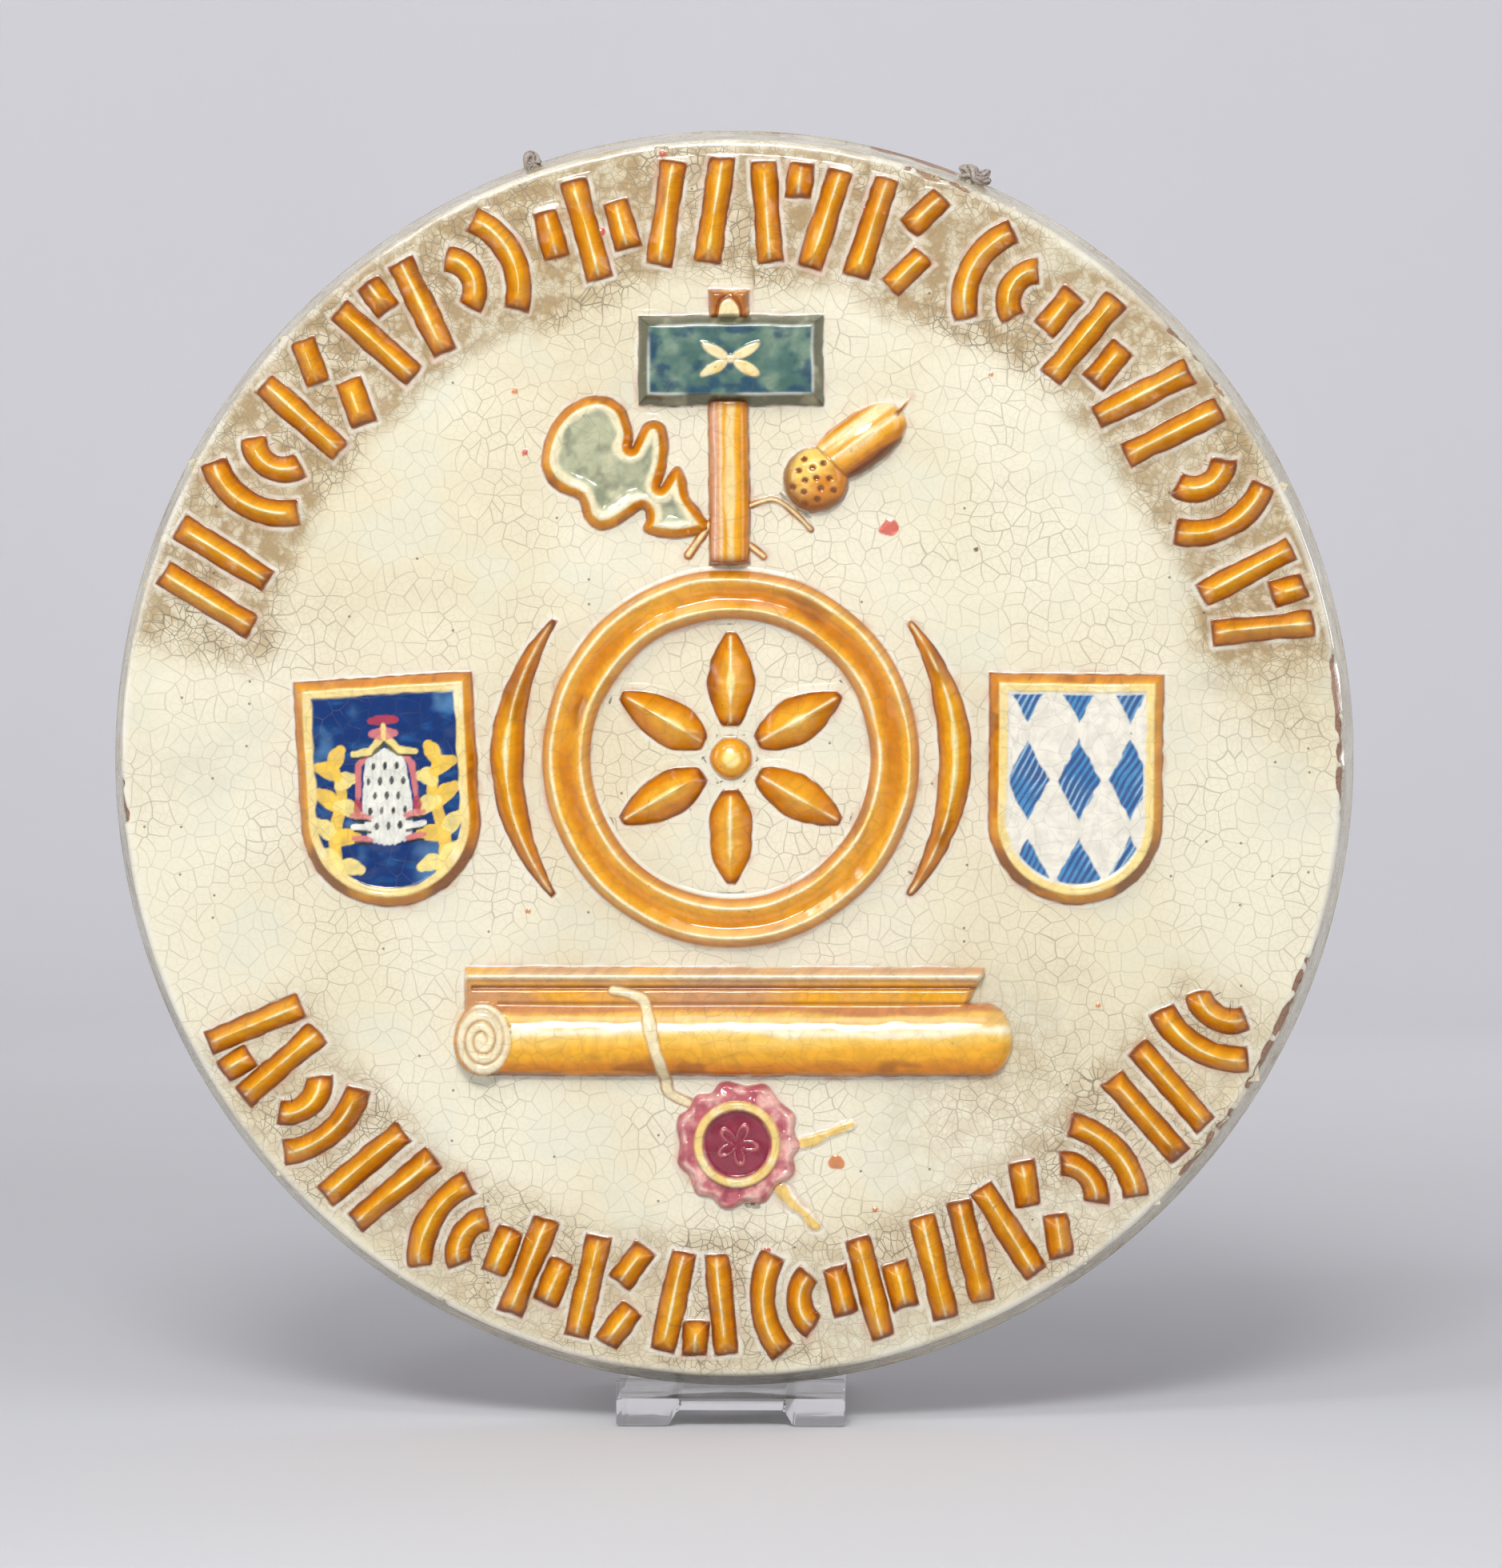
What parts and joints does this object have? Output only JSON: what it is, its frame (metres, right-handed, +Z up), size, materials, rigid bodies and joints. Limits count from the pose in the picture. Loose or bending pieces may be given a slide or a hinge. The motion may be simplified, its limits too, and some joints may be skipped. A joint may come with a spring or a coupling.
{
  "type": "ceramic wall plaque",
  "caption": "Round glazed-ceramic plaque with raised ornament, a hanging cord behind it, standing in a clear cradle.",
  "frame": {"origin": "middle of the whole object's footprint, on the surface that the cradle's runners stand on", "axes": "+Z up; the plaque's face looks along -Y; +X to the viewer's right"},
  "size_m": [0.388, 0.1156, 0.4017],
  "materials": {
    "cream_glaze": "glazed ceramic, crackled",
    "amber_glaze": "glazed ceramic",
    "slate_glaze": "glazed ceramic",
    "leaf_glaze": "glazed ceramic",
    "cobalt_glaze": "painted glazed ceramic",
    "white_glaze": "painted glazed ceramic",
    "crimson_glaze": "glazed ceramic",
    "clear_plastic": "clear polished",
    "twine": "twisted twine"
  },
  "bodies": {
    "root": {"plaque": "cream_glaze", "cradle": "clear_plastic", "cord_tube": "twine", "cord_knot_right": "twine", "cord_loop_left": "twine"}
  },
  "joints": []
}
